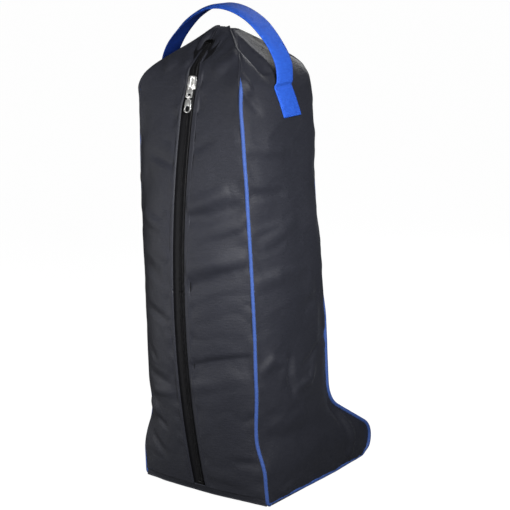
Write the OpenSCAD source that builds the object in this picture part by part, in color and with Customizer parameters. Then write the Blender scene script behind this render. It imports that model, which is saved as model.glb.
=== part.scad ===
// Tall boot bag: two boot-shaped side panels joined by a front gusset, a base and a zipped heel,
// with corded seams, a webbing handle over the peaked top and moulded feet.
// Millimetres. +Z up, +Y towards the toe, origin on the floor in the middle of the bag's outline.

/* [Body] */
// Height of the peak of the roof above the floor
peak_h = 640; // [620:5:660]
// Half the width across the heel seams where the shaft starts
shaft_half_w = 97; // [92:1:102]
// How much narrower each side is at the top of the opening part
shaft_taper = 9; // [6:1:12]
// How much wider each side is at the floor
foot_flare = 11; // [6:1:13]
// Depth of the shaft from heel seam to front seam
shaft_d = 160; // [150:1:170]
// Length of the foot from heel seam to toe seam
foot_l = 250; // [235:1:262]
// How far the side panels bow out
side_bow = 16; // [8:1:18]
// Thickness of the padded fabric
fabric_t = 2; // [1.6:0.1:2.2]

/* [Zip] */
// Radius of the arc that the zip follows down the heel
zip_r = 1150; // [1100:50:1250]
// How far the zip stands out from the heel seams at its furthest
zip_bow = 34; // [30:1:38]
// Height of the middle of the slider
slider_z = 574; // [568:1:574]
// Lowest edge of the part of the heel that opens
flap_low = 100; // [100:1:104]
// Highest edge of the part of the heel that opens
flap_high = 512; // [480:1:512]

/* [Handle] */
// Width of the webbing
web_w = 38; // [30:1:38]
// Thickness of the webbing
web_t = 2.4; // [1.6:0.1:2.4]
// Height of the webbing's middle line over the peak
arch_h = 672; // [668:1:680]

/* [Feet and piping] */
// Radius of the corded piping
piping_r = 2.6; // [2:0.1:2.7]
// Height of the moulded feet
foot_h = 5.5; // [4:0.5:6]

/* [Hidden] */

black_cloth = "#2b2c31";
black_tape = "#141416";
blue_web = "#2a55d8";
blue_cord = "#3d64c4";
metal = "#d8d6d2";

// Places along Y, from the heel seams
heel_y = -110;
mid_y = heel_y + 82;
front_y = heel_y + shaft_d;
base_z = foot_h;

// The seams meet in a short ridge over the middle of the shaft
roof_z = peak_h - 2;
ridge_half_w = 15;
ridge_half_d = 12;
roof_w_slope = 1.25;
roof_y_slope = 1.3;
roof_blend = 22;

// Outline of the foot, seen from the side
toe_r = 28;
toe_y = heel_y + foot_l - toe_r;
toe_z = base_z + toe_r;
instep_angle = 35;
instep_r = 50;
instep_y = front_y + instep_r;
toe_reach = toe_y * sin(instep_angle) + toe_z * cos(instep_angle) + toe_r;
instep_z = (toe_reach + instep_r - instep_y * sin(instep_angle)) / cos(instep_angle);
toe_narrower = 4;

// Panels stop short of a seam, to leave room for the piping, or for a plain seam on the roof
seam_gap = piping_r + 0.9;
roof_seam_r = 1.5;
piping_top = 584;
flap_gap = 3;
band_top = 16;

// Zip: everything is measured outwards from the tape's outer face
zip_z = 260;
zip_y = heel_y - zip_bow + zip_r;
bend_z = 591;
bend_r = 20;
roof_angle = 48;
zip_top = 627;
tape_t = 0.9;
tape_edge = 17;
coil_in = 0.5;
coil_out = 4.6;
coil_t = 2.4;
cloth_edge = 13.5;
cloth_lift = 1;

// Handle: an elliptical arch over the roof, pinned where its legs pass the sewn ends
handle_y = mid_y - 6;
pivot_z = 585;
leg_x = 100.5;
end_low_z = 525;
end_high_z = 568;

$fn = 48;

// ---------- small helpers ----------
function unit(v) = v / norm(v);
function mix(a, b, t) = a + (b - a) * t;
function clamp01(t) = min(1, max(0, t));
function ease(t) = let (c = clamp01(t)) c * c * (3 - 2 * c);
function softer(a, b, r) = max(0, r - abs(a - b)) / r;
function soft_min(a, b, r) = min(a, b) - pow(softer(a, b, r), 2) * r / 4;
function soft_max(a, b, r) = -soft_min(-a, -b, r);
function steps(a, b, n) = [for (i = [0:n]) mix(a, b, i / n)];
function joined(lists) = [for (l = lists) for (p = l) p];

// ---------- outline of the bag ----------
function gap_at(z) = mix(seam_gap, roof_seam_r + 0.7, ease((z - piping_top) / 8));

// Half the width at the heel seam
function shaft_w(z) = shaft_half_w - shaft_taper * (z - flap_low) / 415;
function half_w(z) = soft_min(
    shaft_w(z) + foot_flare * ease((flap_low - z) / 55),
    ridge_half_w + roof_w_slope * (roof_z - z), roof_blend);

// The foot gets slightly narrower towards the toe
function half_w_at(y, z) = half_w(z) - toe_narrower * clamp01((y - front_y) / (foot_l - shaft_d));

function seam_heel(z) = soft_max(heel_y, mid_y - 8 - roof_y_slope * (roof_z - z), roof_blend);

function toe_outline(z, inset) =
    let (toe = toe_r - inset, instep = instep_r + inset, a = instep_angle)
    z < toe_z + toe * cos(a) ? toe_y + sqrt(max(0, toe * toe - pow(z - toe_z, 2)))
    : z < instep_z - instep * cos(a) ? (toe_reach - inset - z * cos(a)) / sin(a)
    : z < instep_z ? instep_y - sqrt(max(0, instep * instep - pow(z - instep_z, 2)))
    : front_y - inset;

function seam_front(z, inset = 0) = soft_min(
    toe_outline(z, inset) - 3 * ease((z - 300) / 250),
    mid_y + ridge_half_d - inset + roof_y_slope * (roof_z - z), roof_blend);

function side_bow_at(z) = side_bow * ease(z / 150 + 0.25) * (1 - 0.5 * ease((z - 515) / 60))
    * (1 - 0.9 * ease((z - 570) / 60));

function side_point(u, z) =
    let (a = seam_heel(z), b = seam_front(z), y = mix(a + gap_at(z), seam_front(z, gap_at(z)), u))
    let (s = (y - a) / (b - a))
    [half_w_at(y, z) + side_bow_at(z) * 4 * s * (1 - s), y, z];

// ---------- path of the zip ----------
// A station is [y, z, angle from the vertical] on the outer face of the tape
bend_angle = asin((bend_z - zip_z) / zip_r);
function on_arc(z) = let (a = asin((z - zip_z) / zip_r)) [zip_y - zip_r * cos(a), z, a];
function on_bend(a) = [
    on_arc(bend_z)[0] + bend_r * (cos(bend_angle) - cos(a)),
    bend_z + bend_r * (sin(a) - sin(bend_angle)), a];
function on_roof(z) = let (s = on_bend(roof_angle)) [s[0] + (z - s[1]) * tan(roof_angle), z, roof_angle];

function arc_run(z0, z1, n) = [for (z = steps(z0, z1, n)) on_arc(z)];
function roof_run(z1) = joined([
    [for (a = steps(bend_angle, roof_angle, 8)) on_bend(a)],
    [for (z = steps(on_bend(roof_angle)[1] + 6, z1, 4)) on_roof(z)]]);
function lifted(s, n) = [s[0] - n * cos(s[2]), s[1] + n * sin(s[2])];

// ---------- solids from points ----------
// A shell of one thickness behind a grid of points on its outer face
function grid_normal(g, i, j) =
    let (r = len(g) - 1, c = len(g[0]) - 1)
    let (down = g[min(r, i + 1)][j] - g[max(0, i - 1)][j], along = g[i][min(c, j + 1)] - g[i][max(0, j - 1)])
    unit(cross(down, along));

function inner_grid(g, t) = [for (i = [0:len(g) - 1]) [for (j = [0:len(g[0]) - 1]) g[i][j] - t * grid_normal(g, i, j)]];

module shell(g, t) {
    r = len(g);
    c = len(g[0]);
    k = r * c;
    skin = [for (i = [0:r - 2]) for (j = [0:c - 2]) let (a = i * c + j) each [[a, a + 1, a + c], [a + 1, a + c + 1, a + c]]];
    back = [for (f = skin) [k + f[2], k + f[1], k + f[0]]];
    rim = concat([for (j = [0:c - 1]) j], [for (i = [1:r - 1]) i * c + c - 1],
        [for (j = [c - 2:-1:0]) (r - 1) * c + j], [for (i = [r - 2:-1:1]) i * c]);
    n = len(rim);
    wall = [for (i = [0:n - 1]) let (a = rim[i], b = rim[(i + 1) % n]) each [[b, a, k + a], [b, k + a, k + b]]];
    polyhedron(concat(joined(g), joined(inner_grid(g, t))), concat(skin, back, wall), convexity = 8);
}

// A round tube along points that never run along X
module tube(path, r, sides = 8) {
    n = len(path);
    rings = [for (i = [0:n - 1])
        let (t = unit(path[min(n - 1, i + 1)] - path[max(0, i - 1)]))
        let (b = unit(cross(t, [1, 0, 0])), a = cross(b, t))
        [for (q = [0:sides - 1]) path[i] + r * (cos(q * 360 / sides) * a + sin(q * 360 / sides) * b)]];
    wall = [for (i = [0:n - 2]) for (q = [0:sides - 1])
        let (a = i * sides + q, b = i * sides + (q + 1) % sides)
        each [[a, a + sides, b], [b, a + sides, b + sides]]];
    caps = [[for (q = [0:sides - 1]) q], [for (q = [sides - 1:-1:0]) (n - 1) * sides + q]];
    polyhedron(joined(rings), concat(wall, caps), convexity = 8);
}

// A flat strip between two distances from the tape's outer face, along stations of the zip
module strip(run, low, high, x0, x1) {
    outline = concat([for (s = run) lifted(s, high)], [for (i = [len(run) - 1:-1:0]) lifted(run[i], low)]);
    translate([x0, 0, 0]) rotate([90, 0, 90]) linear_extrude(x1 - x0) polygon(outline);
}

module both_sides() {
    children();
    mirror([1, 0, 0]) children();
}

// ---------- cloth panels ----------
side_levels = joined([steps(base_z + seam_gap, 60, 6), steps(70, 140, 6), steps(165, 500, 11), steps(520, 637, 12)]);

module side_panel() color(black_cloth)
    shell([for (z = side_levels) [for (u = steps(1, 0, 10)) side_point(u, z)]], fabric_t);

module side_panel_right() side_panel();
module side_panel_left() mirror([1, 0, 0]) side_panel();

// Heel panels run from the tape to the heel seam
function heel_point(u, s) =
    let (out = lifted(s, cloth_lift + fabric_t), z = out[1], w = half_w(z))
    let (x = mix(cloth_edge, w - gap_at(z), u), e = (x - cloth_edge) / (w - cloth_edge))
    [x, mix(out[0], seam_heel(z), e * e), z];

module heel_panel(run) color(black_cloth)
    shell([for (s = run) [for (u = steps(1, 0, 6)) heel_point(u, s)]], fabric_t);

low_run = arc_run(band_top + 1, flap_low - flap_gap, 5);
flap_run = arc_run(flap_low, flap_high, 18);
top_run = concat(arc_run(flap_high + flap_gap, bend_z - 8, 4), roof_run(635));

module zip_panel_right() heel_panel(flap_run);
module zip_panel_left() mirror([1, 0, 0]) heel_panel(flap_run);
module zip_panel_low_right() heel_panel(low_run);
module zip_panel_low_left() mirror([1, 0, 0]) heel_panel(low_run);
module zip_panel_top_right() heel_panel(top_run);
module zip_panel_top_left() mirror([1, 0, 0]) heel_panel(top_run);

// The band closes the heel below the zip
band_bow = 5;
function band_point(u, z) =
    let (w = half_w(z), x = (w - seam_gap) * u, bow = mix(band_bow, heel_y - on_arc(band_top)[0] + 2, (z - base_z) / 12))
    [x, heel_y - bow * (1 - pow(x / w, 2)), z];

module heel_band() color(black_cloth)
    shell([for (z = steps(base_z, band_top, 3)) [for (u = steps(1, -1, 14)) band_point(u, z)]], fabric_t);

// The gusset runs from the base round the toe, up the instep and the shaft to the ridge
toe_path = [for (a = steps(-90, 90 - instep_angle, 8)) [toe_y + toe_r * cos(a), toe_z + toe_r * sin(a)]];
instep_path = [for (a = steps(180 + 90 - instep_angle, 180, 6)) [instep_y + instep_r * cos(a), instep_z + instep_r * sin(a)]];
slope_path = [for (t = steps(0.25, 0.75, 2)) mix(toe_path[8], instep_path[0], t)];
shaft_path = [for (z = steps(165, 560, 13)) [seam_front(z), z]];
roof_path = [for (z = steps(572, 637, 9)) [seam_front(z), z]];
front_path = concat(toe_path, slope_path, instep_path, shaft_path, roof_path, [[mid_y + 3, peak_h], [mid_y - 7, peak_h - 1]]);

function front_bow(p) = p[1] < 150 ? 6 * ease((p[1] - base_z) / 12) : mix(6, 12, ease((p[1] - 150) / 80)) * (1 - ease((p[1] - 520) / 90));

function front_row(i) =
    let (n = len(front_path), p = front_path[i])
    let (t = unit(front_path[min(n - 1, i + 1)] - front_path[max(0, i - 1)]))
    let (w = min(half_w_at(p[0], p[1]), half_w(min(p[1], 637))) - gap_at(p[1]), b = front_bow(p))
    [for (u = steps(-1, 1, 8)) [u * w, p[0] + t[1] * b * (1 - u * u), p[1] - t[0] * b * (1 - u * u)]];

module front_gusset() color(black_cloth)
    shell([for (i = [0:len(front_path) - 1]) front_row(i)], fabric_t);

// ---------- base ----------
base_front_y = toe_y - 1;
feet_x = 86;
feet_y = [heel_y + 13, toe_y - 14];
shank_r = 2;

module base_outline(inset) {
    w = half_w(base_z) - seam_gap - inset;
    toe_w = w - toe_narrower;
    bow = [for (u = steps(-1, 1, 12)) [w * u, heel_y - band_bow * (1 - u * u) + fabric_t + 0.6 + inset]];
    polygon(concat(bow, [[w, front_y], [toe_w, base_front_y - inset], [-toe_w, base_front_y - inset], [-w, front_y]]));
}

module at_feet() for (x = [-feet_x, feet_x], y = feet_y) translate([x, y, 0]) children();

module sheet_with_shank_holes(inset, z, t) difference() {
    translate([0, 0, z]) linear_extrude(t) base_outline(inset);
    at_feet() translate([0, 0, z - 1]) cylinder(h = t + 2, r = shank_r + 0.15);
}

board_z = base_z + fabric_t + 0.3;
board_t = 3;
washer_z = board_z + board_t;

module base_panel() color(black_cloth) sheet_with_shank_holes(0, base_z, fabric_t);
module base_board() color("#3a3a3a") sheet_with_shank_holes(8, board_z, board_t);

// Each foot is a moulded stud, riveted over a washer inside the bag
module base_feet() color("#101012") at_feet() {
    cylinder(h = foot_h - 0.1, r1 = 5.5, r2 = 7.5);
    cylinder(h = washer_z + 1.5, r = shank_r);
    translate([0, 0, washer_z + 1.2]) cylinder(h = 1, r1 = 3.4, r2 = 2.4);
}

module foot_washers() color(metal) at_feet() translate([0, 0, washer_z + 0.1]) difference() {
    cylinder(h = 0.9, r = 8);
    translate([0, 0, -1]) cylinder(h = 3, r = shank_r + 0.15);
}

// ---------- piping along the edge of each side panel ----------
corner_r = 7;
piping_z = base_z + 1;
heel_seam = [for (z = concat(steps(piping_top, 100, 22), steps(90, piping_z + corner_r, 6))) [half_w(z), seam_heel(z), z]];
heel_corner = [for (a = [30, 60]) [half_w(piping_z), heel_y + corner_r * (1 - cos(a)), piping_z + corner_r * (1 - sin(a))]];
floor_seam = [for (y = steps(heel_y + corner_r, toe_y - 10, 7)) [half_w_at(y, piping_z), y, piping_z]];
front_seam = [for (i = [1:len(front_path) - 3]) if (front_path[i][1] < piping_top)
    let (p = front_path[i]) [half_w_at(p[0], p[1]), p[0], max(piping_z, p[1])]];

module piping() color(blue_cord) tube(concat(heel_seam, heel_corner, floor_seam, front_seam), piping_r);
module piping_right() piping();
module piping_left() mirror([1, 0, 0]) piping();

// Above the piping the panels meet in plain seams
roof_levels = steps(piping_top + 4, 636, 9);
module roof_seams() color(black_cloth) both_sides() {
    tube([for (z = roof_levels) [half_w(z), seam_heel(z), z]], roof_seam_r);
    tube([for (z = roof_levels) [half_w_at(seam_front(z), z), seam_front(z), z]], roof_seam_r);
}

// ---------- zip ----------
low_zip = arc_run(band_top + 2, flap_low - flap_gap, 4);
top_zip = concat(arc_run(flap_high + flap_gap, bend_z - 8, 4), roof_run(zip_top));
stop_run = [for (z = [zip_top - 6, zip_top - 4, zip_top - 2]) on_roof(z)];
low_stop_run = arc_run(band_top + 3, band_top + 7, 1);
low_coil = arc_run(band_top + 8, flap_low - flap_gap, 4);
top_coil = concat(arc_run(flap_high + flap_gap, bend_z - 8, 4), roof_run(zip_top - 7));

module tape(run) color(black_tape) strip(run, -tape_t, 0, coil_in + 0.4, tape_edge);
module coil(run) color(black_tape) strip(run, 0.05, coil_t, coil_in, coil_out);

module zip_tape_right() tape(flap_run);
module zip_tape_left() mirror([1, 0, 0]) tape(flap_run);
module zip_tape_top() both_sides() tape(top_zip);
module zip_tape_low() both_sides() tape(low_zip);
module zip_coil_right() coil(flap_run);
module zip_coil_left() mirror([1, 0, 0]) coil(flap_run);
module zip_coil_top() both_sides() coil(top_coil);
module zip_coil_low() both_sides() coil(low_coil);
module zip_top_stop() color(metal) strip(stop_run, 0.1, 3, -4.8, 4.8);
module zip_bottom_stop() color(metal) strip(low_stop_run, 0.1, 3, -4.8, 4.8);

// ---------- slider and pull ----------
// Inside at_slider(), -Y points out of the bag, +Z up the zip, and Y = 0 is the tape's outer face
module at_slider() {
    s = on_arc(slider_z);
    translate([0, s[0], s[1]]) rotate([-s[2], 0, 0]) children();
}

module slab(x, z, out0, out1) translate([-x, -out1, z[0]]) cube([2 * x, out1 - out0, z[1] - z[0]]);

plate_x = 6.8;
plate_top = 4.2;
bar_out = 5.6;
bar_z = -4;
bar_r = 0.95;
link_l = 16;
tab_l = 21;
pull_t = 1.4;

// Two wings joined by a thin neck between the two halves of the chain
module wing(out0, out1) intersection() {
    slab(plate_x, [-9, 9], out0, out1);
    translate([0, 0, -1]) rotate([90, 0, 0]) cylinder(h = 40, r = 10.4, center = true);
}

module slider_body() color(metal) at_slider() {
    wing(coil_t + 0.4, plate_top);
    wing(-2.6, -1.2);
    slab(0.3, [2, 8], -1.3, coil_t + 0.5);
    for (x = [-plate_x + 0.6, plate_x - 0.6]) translate([x, 0, 0]) slab(0.6, [-7, 4], 0.4, coil_t + 0.5);
}

// The bridge holds the pull's bar against the upper wing
module slider_bridge() color(metal) at_slider() {
    slab(1.2, [-8, -6.4], plate_top + 0.02, 8.2);
    slab(1.2, [5.6, 7.2], plate_top + 0.02, 8.2);
    slab(1.2, [-8, 7.2], 7.1, 8.2);
}

// A bar or ring across the pull, at a height on the zip
module across(z, r, x) translate([-x, -bar_out, z]) rotate([0, 90, 0]) cylinder(h = 2 * x, r = r, $fn = 24);

module plate_of(z) translate([0, -bar_out + pull_t / 2, 0]) rotate([90, 0, 0]) linear_extrude(pull_t) children();

arm_x = 2.4;
module pull_link() color(metal) at_slider() {
    across(bar_z, bar_r, 4.2);
    across(bar_z - link_l, bar_r, 4.6);
    plate_of() difference() {
        polygon([[-4.4, bar_z], [4.4, bar_z], [5.2, bar_z - 9], [5.2, bar_z - link_l], [-5.2, bar_z - link_l], [-5.2, bar_z - 9]]);
        translate([-arm_x, bar_z - 6.5]) square([2 * arm_x, 8]);
        translate([-arm_x - 0.4, bar_z - link_l - 1]) square([2 * arm_x + 0.8, 5.6]);
    }
}

tab_z = bar_z - link_l;
tab_hole_r = 3.9;
tab_end_r = 5.5;
module pull_tab() color(metal) at_slider() {
    difference() {
        union() {
            across(tab_z, 2.2, 2.2);
            plate_of() difference() {
                union() {
                    translate([-2.2, tab_z - 5]) square([4.4, 3.2]);
                    polygon([[-4.6, tab_z - 3.4], [4.6, tab_z - 3.4], [tab_end_r, tab_z - 14],
                        [tab_end_r, tab_z - tab_l + tab_end_r], [-tab_end_r, tab_z - tab_l + tab_end_r], [-tab_end_r, tab_z - 14]]);
                    translate([0, tab_z - tab_l + tab_end_r]) circle(tab_end_r);
                }
                translate([0, tab_z - tab_l + tab_end_r]) circle(tab_hole_r);
            }
        }
        across(tab_z, bar_r + 0.2, 6);
    }
}

// ---------- handle ----------
leg_l = 8;
arch_rise = arch_h - pivot_z - leg_l;
function arch_edge(out) = [for (a = steps(0, 180, 40))
    [(leg_x + out) * cos(a), pivot_z + leg_l + (arch_rise + out) * sin(a)]];

module arch_side() difference() {
    polygon(concat([[leg_x + web_t / 2, pivot_z]], arch_edge(web_t / 2), [[-leg_x - web_t / 2, pivot_z]]));
    polygon(concat([[leg_x - web_t / 2, pivot_z - 1]], arch_edge(-web_t / 2), [[-leg_x + web_t / 2, pivot_z - 1]]));
}

module handle_strap() color(blue_web) {
    translate([0, handle_y + web_w / 2, 0]) rotate([90, 0, 0]) linear_extrude(web_w) arch_side();
    for (x = [-leg_x, leg_x]) translate([x - web_t / 2, handle_y, pivot_z]) rotate([0, 90, 0]) cylinder(h = web_t, r = web_w / 2);
}

// The sewn end lies on the side panel, which leans in towards the roof
end_lean = 13;
end_skew = 17;
end_shift = 4;
end_l = (end_high_z - end_low_z) / cos(end_lean);
module handle_end() color(blue_web)
    translate([side_point(0.5, end_high_z)[0] + 0.6, handle_y - end_shift, end_high_z]) rotate([end_skew, -end_lean, 0])
        translate([0, -web_w / 2, -end_l]) cube([web_t, web_w, end_l]);
module handle_end_right() handle_end();
module handle_end_left() mirror([1, 0, 0]) handle_end();

// ---------- every node ----------
side_panel_left();
side_panel_right();
front_gusset();
base_panel();
base_board();
heel_band();
zip_panel_top_left();
zip_panel_top_right();
zip_panel_left();
zip_panel_right();
zip_panel_low_left();
zip_panel_low_right();
piping_left();
piping_right();
roof_seams();
zip_tape_top();
zip_tape_left();
zip_tape_right();
zip_tape_low();
zip_coil_top();
zip_coil_left();
zip_coil_right();
zip_coil_low();
zip_top_stop();
zip_bottom_stop();
slider_body();
slider_bridge();
pull_link();
pull_tab();
handle_strap();
handle_end_left();
handle_end_right();
base_feet();
foot_washers();
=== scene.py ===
"""A tall boot bag: cloth panels, corded piping, a coil zip, a webbing handle and a metal pull.

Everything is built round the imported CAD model, in its frame: +Z up, +Y to the toe, the zipped heel at -Y.
Lengths in this script are millimetres until mesh_object() turns them into metres.
"""

import math

import bmesh
import bpy
import numpy as np
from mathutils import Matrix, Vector


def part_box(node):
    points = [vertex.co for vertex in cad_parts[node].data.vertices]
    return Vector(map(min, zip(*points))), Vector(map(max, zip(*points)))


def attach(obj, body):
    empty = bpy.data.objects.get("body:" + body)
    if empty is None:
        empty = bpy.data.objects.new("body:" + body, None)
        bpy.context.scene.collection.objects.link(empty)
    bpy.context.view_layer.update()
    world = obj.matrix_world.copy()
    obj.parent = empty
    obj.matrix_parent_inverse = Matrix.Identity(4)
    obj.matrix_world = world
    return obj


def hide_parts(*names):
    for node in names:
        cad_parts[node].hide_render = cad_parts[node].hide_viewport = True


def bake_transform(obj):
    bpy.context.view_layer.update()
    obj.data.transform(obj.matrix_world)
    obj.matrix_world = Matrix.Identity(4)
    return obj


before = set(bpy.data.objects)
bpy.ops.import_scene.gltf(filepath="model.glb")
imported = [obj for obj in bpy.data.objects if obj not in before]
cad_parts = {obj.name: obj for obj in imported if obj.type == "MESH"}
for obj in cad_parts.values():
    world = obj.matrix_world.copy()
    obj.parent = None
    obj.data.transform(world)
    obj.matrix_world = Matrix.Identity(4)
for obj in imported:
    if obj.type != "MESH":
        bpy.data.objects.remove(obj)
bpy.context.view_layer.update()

MM = 0.001
LEFT, RIGHT = -1, 1
SIDE_NAMES = {LEFT: "left", RIGHT: "right"}


# ---- sizes, from the frame where it has them
def low(node):
    return np.array(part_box(node)[0]) / MM


def high(node):
    return np.array(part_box(node)[1]) / MM


PIPING_R = 2.6
PIPING_TOP = 584.0
HEEL_Y = low("piping_right")[1] + PIPING_R
BASE_Z = low("base_panel")[2]
SEAM_Z = low("piping_right")[2] + PIPING_R
PEAK_Z = high("front_gusset")[2]
ROOF_Z = PEAK_Z - 2.0
HANDLE_Y = (low("handle_strap")[1] + high("handle_strap")[1]) / 2
MID_Y = HANDLE_Y + 6
FRONT_Y = HEEL_Y + 160.0
TOE_R = 28.0
TOE_Y = high("piping_right")[1] - PIPING_R - TOE_R
TOE_Z = BASE_Z + TOE_R
INSTEP_R = 50.0
INSTEP_Y = FRONT_Y + INSTEP_R
INSTEP_ANGLE = math.radians(35.0)
TOE_REACH = TOE_Y * math.sin(INSTEP_ANGLE) + TOE_Z * math.cos(INSTEP_ANGLE) + TOE_R
INSTEP_Z = (TOE_REACH + INSTEP_R - INSTEP_Y * math.sin(INSTEP_ANGLE)) / math.cos(INSTEP_ANGLE)
TOE_NARROWER = 4.0

SHAFT_W = 97.0
SHAFT_TAPER = 9.0 / 415.0
FOOT_FLARE = 11.0
SIDE_BOW = 16.0
RIDGE_W = 15.0
RIDGE_D = 12.0
ROOF_SOFT = 22.0

ZIP_Z = 260.0
ZIP_R = 1150.0
ZIP_Y = low("zip_tape_right")[1] + ZIP_R
BEND_Z = 591.0
BEND_R = 20.0
ROOF_ANGLE = math.radians(48.0)
ZIP_FOOT = BASE_Z + 11.5
ZIP_HEAD = 636.0
PEAK_ANGLE = math.radians(82.0)
PEAK_R = 13.0
CUT_Z = 300.0
"""Height at which each half of the heel is split, well inside the stretch that opens."""

WEB_W = high("handle_strap")[1] - low("handle_strap")[1]
WEB_T = 2.2
CLOTH_T = 1.7
SEAM_IN = 1.1


# ---- small mathematics
def ease(t):
    t = np.clip(t, 0.0, 1.0)
    return t * t * (3 - 2 * t)


def soft_min(a, b, r):
    return np.minimum(a, b) - np.maximum(0.0, r - np.abs(a - b)) ** 2 / (4 * r)


def soft_max(a, b, r):
    return -soft_min(-a, -b, r)


def bump(t):
    """One smooth hump, 1 at t = 0 and nothing beyond t = -1 and 1."""
    return np.where(np.abs(t) < 1, (1 - np.clip(t * t, 0, 1)) ** 2, 0.0)


def through(z, places):
    """A smooth curve through a few (height, value) places."""
    heights, values = np.array(places, float).T
    i = np.clip(np.searchsorted(heights, z) - 1, 0, len(heights) - 2)
    t = np.clip((z - heights[i]) / (heights[i + 1] - heights[i]), 0, 1)
    return values[i] + (values[i + 1] - values[i]) * t * t * (3 - 2 * t)


def unit(vectors):
    return vectors / np.maximum(np.linalg.norm(vectors, axis=-1, keepdims=True), 1e-9)


def length_along(path):
    """Distance from the first point of a path to each of its points."""
    return np.concatenate([[0], np.cumsum(np.linalg.norm(np.diff(path, axis=0), axis=1))])


def direction(turn, rise):
    """Unit vector turned from the heel's side towards the right and raised, in degrees."""
    turn, rise = math.radians(turn), math.radians(rise)
    return Vector((math.sin(turn) * math.cos(rise), -math.cos(turn) * math.cos(rise), math.sin(rise)))


# ---- outline of the bag
# How far each heel seam strays from its straight line, outwards, at a few heights
SEAM_WANDER = {
    RIGHT: [(0, -2), (45, -4), (104, -4.5), (170, 0), (290, 2), (430, 1),
            (540, -1), (580, 1), (603, 7), (620, 5), (640, 0)],
    LEFT: [(0, 0), (75, 1), (117, -5.5), (160, -1), (280, 0),
           (440, 2), (530, 1), (575, 4), (600, 1), (640, 0)],
}


def half_width(z):
    shaft = SHAFT_W - SHAFT_TAPER * (z - 100) + FOOT_FLARE * ease((100 - z) / 55)
    return soft_min(shaft, RIDGE_W + 1.25 * (ROOF_Z - z), ROOF_SOFT)


def heel_width(side, z):
    return half_width(z) + through(z, SEAM_WANDER[side])


def toe_narrowing(y):
    return TOE_NARROWER * np.clip((y - FRONT_Y) / (TOE_Y + TOE_R - FRONT_Y), 0, 1)


def heel_line(z):
    return soft_max(HEEL_Y + 0 * z, MID_Y - 8 - 1.3 * (ROOF_Z - z), ROOF_SOFT)


def toe_outline(z):
    sine, cosine = math.sin(INSTEP_ANGLE), math.cos(INSTEP_ANGLE)
    toe = TOE_Y + np.sqrt(np.maximum(0, TOE_R**2 - (z - TOE_Z) ** 2))
    slope = (TOE_REACH - z * cosine) / sine
    instep = INSTEP_Y - np.sqrt(np.maximum(0, INSTEP_R**2 - (z - INSTEP_Z) ** 2))
    upper = np.where(z < INSTEP_Z, instep, FRONT_Y)
    middle = np.where(z < INSTEP_Z - INSTEP_R * cosine, slope, upper)
    return np.where(z < TOE_Z + TOE_R * cosine, toe, middle)


def front_line(z):
    shaft = toe_outline(z) - 3 * ease((z - 300) / 250)
    return soft_min(shaft, MID_Y + RIDGE_D + 1.3 * (ROOF_Z - z), ROOF_SOFT)


def side_bow(z):
    above_shaft = (1 - 0.3 * ease((z - 530) / 45)) * (1 - 0.9 * ease((z - 572) / 60))
    return SIDE_BOW * ease(z / 150 + 0.25) * above_shaft


def front_tuck(z):
    """How far the front seams sit inside their straight line, where the side panels bulge past them."""
    return 8.5 * ease((z - 230) / 90) * (1 - ease((z - 560) / 40))


def front_width(y, z):
    return half_width(z) - toe_narrowing(y) - front_tuck(z)


def seam_gap(z):
    """Distance from a seam to the edge of the cloth, which closes above the piping."""
    return SEAM_IN * (1 - 0.6 * ease((z - PIPING_TOP) / 8))


def side_x(side, y, z):
    """Distance of a side panel's outer face from the middle of the bag."""
    heel, front = heel_line(z), front_line(z)
    s = np.clip((y - heel - SEAM_IN) / (front - heel - 2 * SEAM_IN), 0, 1)
    stray = through(z, SEAM_WANDER[side]) * (1 - s) - front_tuck(z) * s**16
    full = np.where(s < 0.5, 4 * s * (1 - s), 1 - (2 * s - 1) ** 6)
    fullness = ease((z - 190) / 90)
    bow = side_bow(z) * (4 * s * (1 - s) * (1 - fullness) + full * fullness) * ease((z - SEAM_Z) / 16)
    return half_width(z) - toe_narrowing(y) + bow + stray


# ---- path of the zip
BEND_ANGLE = math.asin((BEND_Z - ZIP_Z) / ZIP_R)
BEND_START = np.array([ZIP_Y - ZIP_R * math.cos(BEND_ANGLE), BEND_Z])


def bent(start, radius, first, last):
    """Stations round a bend of the zip, after the one at its start."""
    turn = np.linspace(first, last, 6)[1:]
    y = start[0] + radius * (math.cos(first) - np.cos(turn))
    z = start[1] + radius * (np.sin(turn) - math.sin(first))
    return np.stack([y, z, turn], 1)


def zip_path(step=3.0):
    """Stations up the zip and over the peak, each (y, z, angle from the vertical), on the tape's face."""
    arc = np.linspace(math.asin((ZIP_FOOT - ZIP_Z) / ZIP_R), BEND_ANGLE, int((BEND_Z - ZIP_FOOT) / step))
    lower = np.stack([ZIP_Y - ZIP_R * np.cos(arc), ZIP_Z + ZIP_R * np.sin(arc), arc], 1)
    bend = bent(BEND_START, BEND_R, BEND_ANGLE, ROOF_ANGLE)
    rise = np.linspace(0, ZIP_HEAD - bend[-1, 1], int((ZIP_HEAD - bend[-1, 1]) / step * 1.6))[1:]
    roof = np.stack([bend[-1, 0] + rise * math.tan(ROOF_ANGLE), bend[-1, 1] + rise, ROOF_ANGLE + 0 * rise], 1)
    peak = bent(roof[-1], PEAK_R, ROOF_ANGLE, PEAK_ANGLE)
    reach = np.array([3.0, 6.0, 8.5])
    flat = np.stack([peak[-1, 0] + reach * math.sin(PEAK_ANGLE), peak[-1, 1] + reach * math.cos(PEAK_ANGLE),
                     PEAK_ANGLE + 0 * reach], 1)
    return np.vstack([lower, bend, roof, peak, flat])


def lifted(stations, out):
    """(y, z) of the stations, moved outwards from the tape's face."""
    y, z, angle = stations.T
    return np.stack([y - out * np.cos(angle), z + out * np.sin(angle)], 1)


# ---- making meshes
def placed(name, data):
    """A new object in the scene."""
    thing = bpy.data.objects.new(name, data)
    bpy.context.scene.collection.objects.link(thing)
    return thing


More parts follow.
